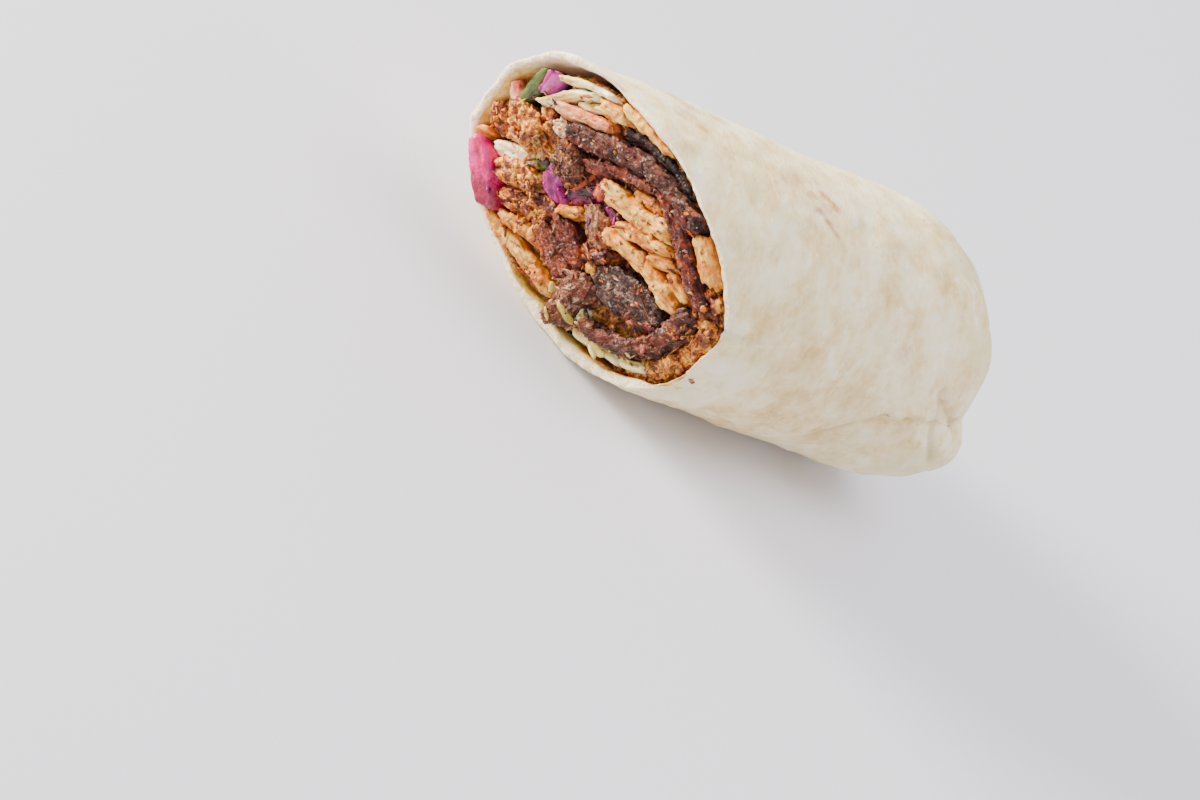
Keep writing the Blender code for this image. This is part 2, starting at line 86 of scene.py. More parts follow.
def from_roll(place):
    """The other way: a place in the scene as along, y and z about the roll's axis."""
    spot = place / MM + MIDDLE
    return spot.x, spot.y, spot.z - AXIS_HEIGHT


def cut_along(y, z):
    """Where the plane of the cut is at this y and z."""
    return CUT_LEAN_Y * y + CUT_LEAN_Z * z


def section_to_roll(across, up):
    cos, sin = math.cos(SECTION_TURN), math.sin(SECTION_TURN)
    return up * cos - across * sin, up * sin + across * cos


def roll_to_section(y, z):
    cos, sin = math.cos(SECTION_TURN), math.sin(SECTION_TURN)
    return z * cos - y * sin, y * cos + z * sin


def at_cut(across, up):
    """A place on the cut, in the scene."""
    y, z = section_to_roll(across, up)
    return on_roll(cut_along(y, z), y, z)


def apart(angle, other):
    """The turn from one angle to the other, from -180 to 180 degrees."""
    return (angle - other + 180) % 360 - 180


def ease(value, start, stop):
    """0 up to start, 1 from stop on, and smooth in between."""
    share = min(max((value - start) / (stop - start), 0.0), 1.0)
    return share * share * (3 - 2 * share)


CUT_NORMAL = Vector((-1.0, CUT_LEAN_Y, CUT_LEAN_Z)).normalized()


# Working on a piece.

def only(piece):
    bpy.ops.object.select_all(action="DESELECT")
    piece.select_set(True)
    bpy.context.view_layer.objects.active = piece


def edit(piece):
    only(piece)
    bpy.ops.object.mode_set(mode="EDIT")
    bpy.ops.mesh.select_all(action="SELECT")


def leave():
    bpy.ops.object.mode_set(mode="OBJECT")


def finish_with(piece, kind, **settings):
    modifier = piece.modifiers.new(kind.title(), kind)
    for name, value in settings.items():
        setattr(modifier, name, value)
    only(piece)
    bpy.ops.object.modifier_apply(modifier=modifier.name)


def copy_of(node, name):
    """A copy of a CAD node's mesh, merged and back in quads where it can be."""
    piece = bpy.data.objects.new(name, frame["nodes"][node].data.copy())
    bpy.context.scene.collection.objects.link(piece)
    piece.data.materials.clear()
    edit(piece)
    bpy.ops.mesh.remove_doubles(threshold=MERGE)
    bpy.ops.mesh.tris_convert_to_quads(face_threshold=math.radians(60), shape_threshold=math.radians(60))
    leave()
    return piece


def cut_off(piece, depth, keep_front):
    """Keeps the part in front of or behind a plane that lies parallel to the cut."""
    edit(piece)
    bpy.ops.mesh.bisect(
        plane_co=on_roll(depth, 0, 0), plane_no=CUT_NORMAL, use_fill=True,
        clear_inner=keep_front, clear_outer=not keep_front,
    )
    leave()


def join(pieces, name):
    only(pieces[0])
    for piece in pieces[1:]:
        piece.select_set(True)
    bpy.ops.object.join()
    pieces[0].name = name
    pieces[0].data.name = name
    return pieces[0]


def lump_texture(name, size, kind="CLOUDS", depth=2):
    texture = bpy.data.textures.new(name, kind)
    texture.noise_scale = size * MM
    if kind == "CLOUDS":
        texture.noise_depth = depth
    return texture


LUMPS = lump_texture("lumps", 2.4)
STRANDS = lump_texture("strands", 0.9, depth=3)
GRAIN = lump_texture("grain", 0.55)
CURDS = lump_texture("curds", 1.4, "VORONOI")
WARP = lump_texture("warp", 3.6)
WARP.cloud_type = "COLOR"
BREAD_SWELL = lump_texture("bread_swell", 14.0, depth=1)
BREAD_DENTS = lump_texture("bread_dents", 4.5)


def roughen(piece, texture, height, middle=0.5, along=None, stretch=1.0, direction="NORMAL"):
    """Raises a texture on a piece, drawn out along a direction if one is given."""
    if along is not None:
        piece.data.transform(Matrix.Scale(1 / stretch, 4, along))
    finish_with(
        piece, "DISPLACE", texture=texture, strength=height * MM, mid_level=middle, texture_coords="LOCAL",
        direction=direction,
    )
    if along is not None:
        piece.data.transform(Matrix.Scale(stretch, 4, along))


def give_values(piece, name, values):
    attribute = piece.data.attributes.new(name, "FLOAT", "POINT")
    attribute.data.foreach_set("value", values)


def give_places(piece, name, values):
    attribute = piece.data.attributes.new(name, "FLOAT_VECTOR", "POINT")
    attribute.data.foreach_set("vector", [number for value in values for number in value])


def dress(piece, material, slot, *nodes):
    piece.data.materials.clear()
    piece.data.materials.append(material)
    only(piece)
    bpy.ops.object.shade_smooth()
    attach(piece, "root")
    if nodes:
        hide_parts(*nodes)
    return piece


# Shader maths.

class Shade:
    """A socket of a material's nodes that works in Python sums."""

    def __init__(self, tree, socket):
        self.tree = tree
        self.socket = socket

    def node(self, kind, settings=None, values=None, output=0):
        """Adds a node: its settings first, then the values or links of its sockets."""
        made = self.tree.nodes.new(kind)
        for name, value in (settings or {}).items():
            if name == "stops":
                ramp = made.color_ramp
                while len(ramp.elements) < len(value):
                    ramp.elements.new(1.0)
                for element, (place, colour) in zip(ramp.elements, value):
                    element.position = place
                    element.color = colour
            else:
                setattr(made, name, value)
        for name, value in (values or {}).items():
            if isinstance(value, Shade):
                self.tree.links.new(value.socket, made.inputs[name])
            else:
                made.inputs[name].default_value = value
        return Shade(self.tree, made.outputs[output])

    def maths(self, operation, *others):
        values = dict(enumerate((self, *others)))
        return self.node("ShaderNodeMath", {"operation": operation}, values)

    def __add__(self, other):
        return self.maths("ADD", other)

    def __sub__(self, other):
        return self.maths("SUBTRACT", other)

    def __mul__(self, other):
        return self.maths("MULTIPLY", other)

    def __rsub__(self, other):
        return self.node("ShaderNodeMath", {"operation": "SUBTRACT"}, {0: other, 1: self})

    __radd__ = __add__
    __rmul__ = __mul__

    def between(self, low, high):
        """0 below low, 1 above high and smooth in between; the other way round if low is more."""
        start, stop = (0.0, 1.0) if low < high else (1.0, 0.0)
        values = {"Value": self, "From Min": min(low, high), "From Max": max(low, high)}
        values.update({"To Min": start, "To Max": stop})
        return self.node("ShaderNodeMapRange", {"interpolation_type": "SMOOTHSTEP"}, values)

    def mixed(self, first, second):
        """The first colour where this is 0 and the second where it is 1."""
        settings = {"data_type": "RGBA", "clamp_factor": True}
        return self.node("ShaderNodeMix", settings, {0: self, 6: first, 7: second}, 2)

    def from_to(self, low, high):
        """Low where this is 0 and high where it is 1."""
        return self * (high - low) + low

    def colours(self, *stops):
        """Colours by value: each stop is a place and a colour."""
        return self.node("ShaderNodeValToRGB", {"stops": stops}, {0: self})


def paint(red, green, blue):
    """A colour as an eye would name it on a screen, from 0 to 255, as the shader's linear light."""
    linear = []
    for value in (red, green, blue):
        value /= 255
        linear.append(value / 12.92 if value < 0.04045 else ((value + 0.055) / 1.055) ** 2.4)
    return (*linear, 1.0)


class Finish:
    """A material in the making, with the patterns that its colours are built from."""

    def __init__(self, name):
        self.material = bpy.data.materials.new(name)
        self.material.use_nodes = True
        self.tree = self.material.node_tree
        self.shader = self.tree.nodes["Principled BSDF"]
        place = self.tree.nodes.new("ShaderNodeTexCoord")
        self.place = Shade(self.tree, place.outputs["Object"])

    def drawn_out(self, x, y, z):
        """The piece's own coordinates, scaled so that patterns are stretched."""
        values = {"Vector": self.place, "Scale": (x, y, z)}
        return self.place.node("ShaderNodeMapping", None, values)

    def cloud(self, size, detail=3.0, rough=0.6, seed=0.0, place=None):
        """Soft noise with features of a size in millimetres, from 0 to 1."""
        values = {
            "Vector": place or self.place, "W": seed, "Scale": 1 / (size * MM),
            "Detail": detail, "Roughness": rough,
        }
        return self.place.node("ShaderNodeTexNoise", {"noise_dimensions": "4D"}, values)

    def cells(self, size, seed=0.0):
        """Distance to the middle of the nearest cell, in cells."""
        values = {"Vector": self.place, "W": seed, "Scale": 1 / (size * MM)}
        return self.place.node("ShaderNodeTexVoronoi", {"voronoi_dimensions": "4D"}, values)

    def value(self, name):
        """A number that the piece carries at each point."""
        return self.place.node("ShaderNodeAttribute", {"attribute_name": name}, None, 2)

    def run(self):
        """Coordinates that follow the piece, drawn out along its strands."""
        return self.place.node("ShaderNodeAttribute", {"attribute_name": "run"}, None, 1)

    def set(self, **sockets):
        for name, value in sockets.items():
            socket = self.shader.inputs[name.replace("_", " ")]
            if isinstance(value, Shade):
                self.tree.links.new(value.socket, socket)
            else:
                socket.default_value = value

    def relief(self, height, depth):
        """Fine relief: a height pattern and its depth in millimetres."""
        values = {"Height": height, "Distance": depth * MM, "Strength": 1.0}
        self.set(Normal=self.place.node("ShaderNodeBump", None, values))


def flatbread_finish():
    """Floury skin, mottled cream and tan, toasted in freckles, stained and soaked inside the cut."""
    bread = Finish("flatbread_finish")
    round_roll = bread.drawn_out(1.3, 0.9, 0.9)
    mottle = bread.cloud(7.5, 4.0, 0.6, place=round_roll)
    fine = bread.cloud(1.9, 4.0, 0.65, 1.0, round_roll)
    broad = bread.cloud(26.0, 2.0, 0.5, 14.0)
    tone = (mottle * 0.45 + fine * 0.2 + broad * 0.35).between(0.34, 0.68)
    skin = tone.colours(
        (0.0, paint(252, 242, 214)), (0.3, paint(247, 230, 190)), (0.55, paint(240, 216, 162)),
        (0.8, paint(226, 194, 132)), (1.0, paint(206, 166, 100)),
    )
    green_gray = bread.cloud(13.0, 2.0, 0.5, 4.0).between(0.48, 0.64) * 0.45
    skin = green_gray.mixed(skin, paint(226, 220, 168))
    flour = bread.cloud(5.0, 5.0, 0.7, 15.0, round_roll).between(0.54, 0.68) * 0.6
    skin = flour.mixed(skin, paint(253, 248, 232))
    freckle_areas = bread.cloud(8.0, 2.0, 0.5, 5.0).between(0.54, 0.66)
    freckle = bread.cells(2.4, seed=2.0).between(0.40, 0.10) * freckle_areas
    skin = (freckle * 0.45).mixed(skin, paint(200, 158, 102))
    toast = bread.value("toast") * bread.cloud(1.5, 4.0, 0.7, 6.0).from_to(0.2, 1.6)
    skin = (toast.between(0.02, 0.9) * 0.9).mixed(skin, paint(182, 124, 60))
    # Painted shade: the narrow creases on the folded end are darkened.
    skin = (bread.value("shade") * 0.5).mixed(skin, paint(198, 170, 124))

    stain = bread.cloud(3.2, 4.0, 0.65, 7.0).between(0.36, 0.64).colours(
        (0.0, paint(250, 220, 118)), (0.5, paint(238, 188, 68)), (1.0, paint(214, 138, 26)),
    )
    speck_areas = bread.cloud(3.0, 2.0, 0.5, 8.0).between(0.5, 0.62)
    specks = bread.cells(1.5, seed=3.0).between(0.2, 0.08) * speck_areas
    stain = specks.mixed(stain, paint(96, 62, 30))
    soaked = bread.cloud(1.5, 4.0, 0.7, 9.0).between(0.36, 0.64).colours(
        (0.0, paint(150, 70, 14)), (0.4, paint(206, 116, 30)), (0.7, paint(234, 160, 64)),
        (1.0, paint(246, 204, 126)),
    )
    inside = bread.value("soak").mixed(stain, soaked)
    # Deeper behind the cut the inner wall turns dark orange-brown: partly soaked oil, partly painted shade.
    inside = bread.value("deep").mixed(inside, paint(150, 84, 30))
    crumb = bread.cloud(0.9, 4.0, 0.7, 10.0).between(0.36, 0.62).colours(
        (0.0, paint(232, 200, 132)), (0.5, paint(248, 232, 186)), (1.0, paint(255, 249, 226)),
    )
    rim_stain = bread.value("soak") * bread.cloud(3.0, 3.0, 0.6, 16.0).between(0.46, 0.6)
    rim = rim_stain.mixed(crumb, soaked)
    colour = bread.value("inside").mixed(skin, inside)
    colour = bread.value("rim").mixed(colour, rim)
    bread.set(Base_Color=colour, Roughness=0.72, Subsurface_Weight=0.15, Subsurface_Scale=0.0015)
    wrinkles = bread.cloud(1.3, 5.0, 0.7, 11.0, bread.drawn_out(2.6, 0.8, 0.8))
    bread.relief(wrinkles + fine * 0.6 + bread.cells(0.9, seed=12.0) * 0.15, 0.34)
    return bread.material


def beef_finish(name, dark, middle, light, fleck, rim, shine=0.28):
    """Roast meat: cut across the grain and speckled, with pale flecks of fat and a roasted rim."""
    beef = Finish(name)
    grain = beef.cloud(0.42, 4.0, 0.7)
    strands = beef.cloud(1.1, 5.0, 0.7, 8.0, beef.run())
    patches = beef.cloud(3.2, 3.0, 0.6, 1.0)
    level = grain * 0.36 + strands * 0.34 + patches * 0.3 + beef.value("tone") * 0.14 - 0.03
    flesh = level.between(0.41, 0.67).colours(
        (0.0, dark), (0.42, middle), (0.82, light), (1.0, fleck),
    )
    warm = beef.cloud(4.2, 2.0, 0.5, 9.0).between(0.50, 0.62) * 0.55
    flesh = warm.mixed(flesh, rim)
    fat_areas = beef.cloud(3.0, 2.0, 0.5, 3.0).between(0.46, 0.58)
    fat = beef.cloud(0.6, 3.0, 0.6, 2.0).between(0.58, 0.66) * fat_areas
    flesh = (fat * 0.6).mixed(flesh, paint(232, 212, 190))
    pit_areas = beef.cloud(2.2, 2.0, 0.5, 5.0).between(0.48, 0.56)
    pits = beef.cells(0.8, seed=4.0).between(0.25, 0.08) * pit_areas
    flesh = (pits * 0.9).mixed(flesh, paint(26, 12, 8))
    edge = beef.value("edge") + beef.cloud(1.2, 3.0, 0.6, 6.0) * 0.9
    flesh = (edge.between(0.95, 0.45) * 0.8).mixed(flesh, dark)
    # Painted shade: darker deeper behind the cut.
    flesh = beef.value("deep").mixed(flesh, paint(34, 14, 8))
    wet = beef.cloud(1.0, 3.0, 0.6, 7.0).between(0.42, 0.58).from_to(shine, 0.7)
    beef.set(Base_Color=flesh, Roughness=wet, Subsurface_Weight=0.08, Subsurface_Scale=0.001)
    beef.set(Specular_IOR_Level=0.35, Coat_Weight=0.14, Coat_Roughness=0.12)
    beef.relief(grain + strands * 1.5 + fat * 0.4 - pits * 0.6, 0.4)
    return beef.material


def chicken_finish(name, pale, middle, gold, rim):
    """Roast chicken: pale fibrous flesh in the middle, spiced golden edges and a wet shine."""
    chicken = Finish(name)
    strands = chicken.cloud(1.0, 5.0, 0.68, place=chicken.run())
    patches = chicken.cloud(4.0, 3.0, 0.6, 1.0)
    level = strands * 0.55 + patches * 0.45 + chicken.value("tone") * 0.08
    flesh = level.between(0.42, 0.64).colours((0.0, gold), (0.45, middle), (1.0, pale))
    edge = chicken.value("edge") + chicken.cloud(1.8, 3.0, 0.6, 2.0) * 1.5
    flesh = edge.between(1.45, 0.75).mixed(flesh, rim)
    spice_areas = chicken.cloud(2.0, 2.0, 0.5, 4.0).between(0.5, 0.6)
    spice = chicken.cells(0.9, seed=3.0).between(0.24, 0.08) * spice_areas
    flesh = (spice * 0.85).mixed(flesh, paint(118, 50, 18))
    # Painted shade: darker deeper behind the cut.
    flesh = chicken.value("deep").mixed(flesh, paint(96, 44, 14))
    wet = chicken.cloud(1.3, 3.0, 0.6, 5.0).between(0.42, 0.58).from_to(0.32, 0.6)
    chicken.set(Base_Color=flesh, Roughness=wet, Subsurface_Weight=0.18, Subsurface_Scale=0.0015)
    chicken.set(Specular_IOR_Level=0.35, Coat_Weight=0.1, Coat_Roughness=0.15)
    chicken.relief(strands * 1.4 + chicken.cloud(0.5, 3.0, 0.6, 6.0) * 0.5, 0.35)
    return chicken.material


def crisp_finish():
    """Crisp, glazed chunks: golden orange with dark red-brown glossy patches."""
    crisp = Finish("crisp_finish")
    crust = crisp.cloud(2.2, 6.0, 0.68)
    colour = (crust + crisp.value("tone") * 0.1 - 0.05).between(0.36, 0.64).colours(
        (0.0, paint(50, 8, 1)), (0.3, paint(118, 42, 4)), (0.55, paint(182, 90, 10)),
        (0.8, paint(218, 138, 26)), (1.0, paint(234, 180, 74)),
    )
    burnt = crisp.cloud(3.2, 3.0, 0.6, 1.0).between(0.50, 0.60)
    colour = (burnt * 0.75).mixed(colour, paint(88, 32, 12))
    # Painted shade: darker deeper behind the cut.
    colour = crisp.value("deep").mixed(colour, paint(84, 38, 12))
    wet = crisp.cloud(1.0, 3.0, 0.6, 2.0).between(0.44, 0.58).from_to(0.22, 0.6)
    crisp.set(Base_Color=colour, Roughness=wet, Subsurface_Weight=0.08, Subsurface_Scale=0.001)
    crisp.set(Specular_IOR_Level=0.35, Coat_Weight=0.12, Coat_Roughness=0.12)
    crisp.relief(crust + crisp.cells(0.8, seed=3.0) * 0.15, 0.4)
    return crisp.material


def leaf_finish(name, stops, rim, shine, deep, lower=None):
    """Raw or pickled vegetable: wet, translucent, with a rim of its own colour, and darker lower down."""
    leaf = Finish(name)
    drift = leaf.cloud(1.8, 4.0, 0.6, place=leaf.run())
    colour = drift.between(0.38, 0.62).colours(*stops)
    edge = leaf.value("edge") + leaf.cloud(1.6, 3.0, 0.6, 1.0) * 0.5
    colour = edge.between(0.75, 0.35).mixed(colour, rim)
    if lower:
        down = leaf.value("lengthwise") + leaf.cloud(1.2, 4.0, 0.7, 4.0) * 0.8
        colour = down.between(0.85, 1.1).mixed(colour, lower)
    # Painted shade: darker deeper behind the cut.
    colour = leaf.value("deep").mixed(colour, deep)
    leaf.set(Base_Color=colour, Roughness=shine, Subsurface_Weight=0.25, Subsurface_Scale=0.0015)
    leaf.set(Specular_IOR_Level=0.4, Coat_Weight=0.22, Coat_Roughness=0.08)
    leaf.relief(drift + leaf.cloud(0.7, 3.0, 0.6, 2.0) * 0.5, 0.3)
    return leaf.material


def crumb_finish(name, stops, shine=0.35):
    """Loose crumbs and shreds: each one has its own place among the colours."""
    crumb = Finish(name)
    hue = crumb.value("tone") * 0.75 + crumb.cloud(0.8, 3.0, 0.7).between(0.36, 0.64) * 0.25
    crumb.set(Base_Color=hue.colours(*stops), Roughness=shine, Specular_IOR_Level=0.35)
    crumb.set(Subsurface_Weight=0.12, Subsurface_Scale=0.0008, Coat_Weight=0.1, Coat_Roughness=0.2)
    crumb.relief(crumb.cloud(0.45, 4.0, 0.7, 1.0), 0.25)
    return crumb.material


def bed_finish():
    """What shows between the strips: crumbs of meat and bread in a dark, oily sauce."""
    bed = Finish("bed_finish")
    crumbs = bed.cloud(1.2, 6.0, 0.75).between(0.36, 0.64)
    golden = crumbs.colours(
        (0.0, paint(90, 34, 6)), (0.35, paint(178, 88, 14)), (0.65, paint(226, 146, 40)),
        (1.0, paint(246, 202, 112)),
    )
    dark = crumbs.colours(
        (0.0, paint(30, 6, 2)), (0.4, paint(92, 26, 8)), (0.7, paint(150, 66, 22)),
        (1.0, paint(206, 134, 64)),
    )
    colour = bed.value("tone").mixed(dark, golden)
    wet = bed.cloud(0.9, 2.0, 0.5, 2.0).between(0.42, 0.58).from_to(0.16, 0.55)
    bed.set(Base_Color=colour, Roughness=wet, Specular_IOR_Level=0.4, Coat_Weight=0.25, Coat_Roughness=0.1)
    bed.relief(crumbs, 0.45)
    return bed.material


def make_finishes():
    cabbage_stops = ((0.0, paint(198, 168, 62)), (0.5, paint(234, 214, 124)), (1.0, paint(252, 242, 182)))
    red_stops = ((0.0, paint(22, 0, 14)), (0.5, paint(54, 0, 34)), (1.0, paint(112, 2, 68)))
    bright_stops = ((0.0, paint(84, 0, 56)), (0.5, paint(146, 0, 98)), (1.0, paint(184, 14, 130)))
    turnip_stops = ((0.0, paint(186, 0, 76)), (0.5, paint(212, 0, 104)), (1.0, paint(230, 36, 136)))
    pickle_stops = ((0.0, paint(10, 26, 0)), (0.5, paint(30, 50, 2)), (1.0, paint(78, 92, 12)))
    tomato_stops = ((0.0, paint(232, 92, 54)), (0.5, paint(244, 138, 100)), (1.0, paint(252, 190, 160)))
    pepper_stops = ((0.0, paint(204, 96, 10)), (0.5, paint(234, 146, 24)), (1.0, paint(248, 192, 70)))
    onion_stops = ((0.0, paint(226, 186, 122)), (0.5, paint(242, 220, 174)), (1.0, paint(252, 242, 214)))
    return {
        "flatbread": flatbread_finish(),
        "beef": beef_finish(
            "beef_finish", paint(22, 4, 0), paint(90, 36, 12), paint(146, 80, 40), paint(222, 190, 156),
            paint(130, 46, 10),
        ),
        "beef_tan": beef_finish(
            "beef_tan_finish", paint(64, 24, 8), paint(140, 80, 44), paint(188, 134, 88),
            paint(234, 210, 180), paint(164, 76, 22),
        ),
        "beef_red": beef_finish(
            "beef_red_finish", paint(36, 4, 1), paint(108, 34, 12), paint(160, 80, 38),
            paint(222, 176, 136), paint(172, 66, 10),
        ),
        "char": beef_finish(
            "char_finish", paint(8, 3, 1), paint(44, 20, 9), paint(88, 50, 30), paint(186, 166, 144),
            paint(50, 18, 6), 0.3,
        ),
        "chicken": chicken_finish(
            "chicken_finish", paint(238, 194, 98), paint(222, 150, 38), paint(192, 100, 2),
            paint(210, 116, 0),
        ),
        "chicken_pink": chicken_finish(
            "chicken_pink_finish", paint(236, 186, 142), paint(222, 150, 100), paint(192, 102, 50),
            paint(196, 96, 24),
        ),
        "crisp": crisp_finish(),
        "cabbage": leaf_finish(
            "cabbage_finish", cabbage_stops, paint(250, 244, 202), 0.28, paint(120, 84, 24),
        ),
        "red_cabbage": leaf_finish(
            "red_cabbage_finish", red_stops, paint(90, 0, 58), 0.16, paint(30, 2, 18),
        ),
        "bright_cabbage": leaf_finish(
            "bright_cabbage_finish", bright_stops, paint(206, 84, 172), 0.2, paint(60, 0, 40),
        ),
        "turnip": leaf_finish(
            "turnip_finish", turnip_stops, paint(214, 12, 112), 0.2, paint(110, 0, 36), paint(140, 0, 52),
        ),
        "pickle": leaf_finish("pickle_finish", pickle_stops, paint(34, 46, 6), 0.2, paint(26, 28, 4)),
        "tomato": leaf_finish("tomato_finish", tomato_stops, paint(244, 156, 128), 0.2, paint(150, 56, 24)),
        "pepper": leaf_finish("pepper_finish", pepper_stops, paint(220, 112, 10), 0.2, paint(120, 52, 6)),
        "onion": leaf_finish("onion_finish", onion_stops, paint(234, 196, 128), 0.26, paint(150, 96, 40)),
        "core": bed_finish(),
        "golden_crumbs": crumb_finish("golden_crumb_finish", (
            (0.0, paint(70, 22, 2)), (0.3, paint(156, 72, 8)), (0.6, paint(208, 126, 28)),
            (0.85, paint(226, 160, 58)), (1.0, paint(236, 192, 108)),
        )),
        "meat_crumbs": crumb_finish("meat_crumb_finish", (
            (0.0, paint(20, 4, 2)), (0.35, paint(66, 26, 14)), (0.65, paint(112, 60, 38)),
            (0.9, paint(160, 114, 84)), (1.0, paint(206, 180, 154)),
        )),
        "green_bits": crumb_finish("green_bit_finish", (
            (0.0, paint(150, 134, 40)), (0.4, paint(214, 190, 88)), (0.7, paint(238, 220, 134)),
            (1.0, paint(250, 240, 184)),
        ), 0.25),
        "purple_bits": crumb_finish("purple_bit_finish", (
            (0.0, paint(50, 2, 36)), (0.5, paint(130, 14, 92)), (1.0, paint(206, 70, 160)),
        ), 0.2),
        "sauce": crumb_finish("sauce_finish", (
            (0.0, paint(52, 8, 2)), (0.5, paint(134, 40, 8)), (1.0, paint(206, 96, 22)),
        ), 0.12),
    }


FINISHES = make_finishes()


# The flatbread.

# Creases pressed into the skin: places as (angle, along), width, and depth in millimetres.
CREASES = (
    (((81, 50.8), (89, 53.2), (97, 53.3), (106, 53.2)), 1.5, 0.35),
    (((106, 20.5), (113, 18.7)), 2.4, 0.3),
    (((116, 33.2), (132, 34.9)), 3.0, 0.3),
    (((109, 66.9), (124, 68.5)), 3.2, 0.35),
    (((157, 30.1), (172, 36.0)), 3.2, 0.3),
    (((144, 53.0), (171, 60.0)), 3.6, 0.35),
    (((134, 74.6), (160, 79.0)), 4.0, 0.35),
    (((165.5, 21.5), (164, 26.0), (162, 31.0), (160, 36.0)), 1.0, 0.6),
    (((161.5, 22), (160, 27.0), (158, 31.0), (157, 35.0)), 1.4, -0.3),
    (((182, 45.9), (178, 46.9), (175, 49.5)), 1.3, -0.5),
    (((196, 43.7), (196, 52.5)), 0.9, -0.3),
    (((192, 44.7), (193, 50.5)), 0.8, -0.25),
    (((203, 46.0), (201, 56.0)), 1.0, -0.25),
    (((209, 62.9), (193, 67.1), (182, 70.9), (173, 75.8)), 1.2, 1.0),
    (((173, 76.8), (167, 79.5), (167, 84.0), (175, 85.2), (185, 87.6), (196, 90.3)), 1.0, -1.0),
    (((156, 86.0), (166, 88.7), (177, 91.4), (187, 95.5)), 1.4, 1.3),
    (((160, 88.6), (165, 92.0), (171, 97.4)), 1.3, 1.2),
    (((163, 86.6), (171, 90.0), (180, 93.2)), 1.1, -0.8),
)
# From here on, along the roll, its end is folded.
FOLD_FROM = 60.0

# Toasted freckles: (angle, along), size in millimetres and strength.
TOAST = (
    ((52, 2), 3.0, 0.7), ((56, 6), 3.4, 0.8), ((63, 8), 2.6, 0.8), ((70, 5), 2.4, 0.6),
    ((63, 17), 2.8, 0.6), ((74, 3), 1.6, 0.7), ((78, 9), 1.4, 0.6),
    ((92, 41.6), 1.6, 1.0), ((94, 37.3), 1.4, 1.0), ((96, 44.0), 2.0, 0.9), ((101, 39.0), 1.5, 1.0),
    ((105, 42), 1.5, 1.0), ((109, 44), 1.3, 0.9), ((98, 41), 4.2, 0.5),
    ((90, 30), 3.0, 0.5), ((88, 35), 3.0, 0.6), ((86, 40), 2.6, 0.5),
    ((30, 40), 4.0, 0.6), ((20, 62), 3.4, 0.6), ((345, 30), 4.6, 0.6), ((330, 75), 3.6, 0.6),
    ((10, 85), 3.0, 0.6), ((60, 92), 2.6, 0.4), ((145, 70), 3.2, 0.4), ((235, 20), 3.4, 0.6),
    ((222, -4), 2.4, 0.1), ((228, 0), 1.6, 0.1),
    ((120, 60), 4.0, 0.3), ((150, 42), 4.0, 0.3), ((175, 64), 5.0, 0.3), ((128, 15), 3.4, 0.3),
)
# Millimetres round the skin for each degree.
AROUND = INSIDE_RADIUS * 1.1 * math.pi / 180
SOAKED_ANGLE = 192
# Where the folded corner has finer faces: from here along, between these angles.
FOLDED_CORNER = (36.0, 140, 232)

# Pairs where something starts or ends: degrees from the soaked side, and radii, in millimetres.
SOAKED_SPREAD = (34, 72)
STAINED_TO = (29.6, 31.0)
INNER_WALL_TO = (30.8, 31.4)
# How far behind the cut the rim ends, the wall darkens (partly oil, partly painted shade) and the torn edge
# ends.
RIM_DEPTH = (1.0, 2.4)
DARK_DEPTH = (6.0, 14.0)
TORN_DEPTH = (0.5, 2.0)
# How squarely the skin faces the cut on the rim, and faces inwards inside.
RIM_FACING = (0.7, 0.88)
INSIDE_FACING = (0.0, 0.4)
OUTER_FACING = -0.2
# How far a crease or a freckle reaches, in its own widths.
REACH = 3
# A crease deeper and narrower than this, on the folds, gets painted shade.
DARK_CREASE_DEPTH = 0.3
DARK_CREASE_WIDTH = 2
# How deep the rim is torn, and the sizes of the tears.
RIM_TEAR = 0.45
TEAR_SIZES = ((1.9, 1.0), (0.8, 0.6))
RIM_SHARPNESS = 0.85
SHARP_EDGE = math.radians(40)
# The skin's wide swellings: how high, and which level of the texture leaves it in place.
SWELL_HEIGHT = 1.0
SWELL_LEVEL = 0.62
DENT_HEIGHT = 0.55
DENT_STRETCH = 1.6


def distance_to_marks(place, marks):
    """How far a place on the skin is from a line of marks, both as (round, along) in millimetres."""
    nearest = math.inf
    for start, stop in zip(marks, marks[1:]):
        run = stop - start
        share = min(max((place - start).dot(run) / run.length_squared, 0.0), 1.0)
        nearest = min(nearest, (place - start - run * share).length)
    return nearest


def crease_lines():
    """Each crease with its marks in millimetres and the box that it can reach."""
    lines = []
    for marks, width, depth in CREASES:
        points = [Vector((angle * AROUND, along)) for angle, along in marks]
        reach = Vector((REACH * width, REACH * width))
        low = Vector((min(point.x for point in points), min(point.y for point in points))) - reach
        high = Vector((max(point.x for point in points), max(point.y for point in points))) + reach
        lines.append((points, width, depth, low, high))
    return lines


def skin_place(co):
    """A place as angle, (round, along) in millimetres, how far behind the cut, and the way out."""
    along, y, z = from_roll(co)
    angle = math.degrees(math.atan2(z, y)) % 360
    return angle, Vector((angle * AROUND, along)), along - cut_along(y, z), Vector((0, y, z)).normalized()


def refine_corner(bread):
    """Gives the folded corner a finer skin, for its wrinkles."""
    start, low, high = FOLDED_CORNER
    edit(bread)
    bpy.ops.mesh.select_mode(type="FACE")
    bpy.ops.mesh.select_all(action="DESELECT")
    leave()
    for face in bread.data.polygons:
        angle, place, _, outward = skin_place(face.center)
        face.select = place.y > start and low < angle < high and face.normal.dot(outward) > 0.2
    bpy.ops.object.mode_set(mode="EDIT")
    bpy.ops.mesh.subdivide(number_cuts=1, smoothness=0.0)
    leave()


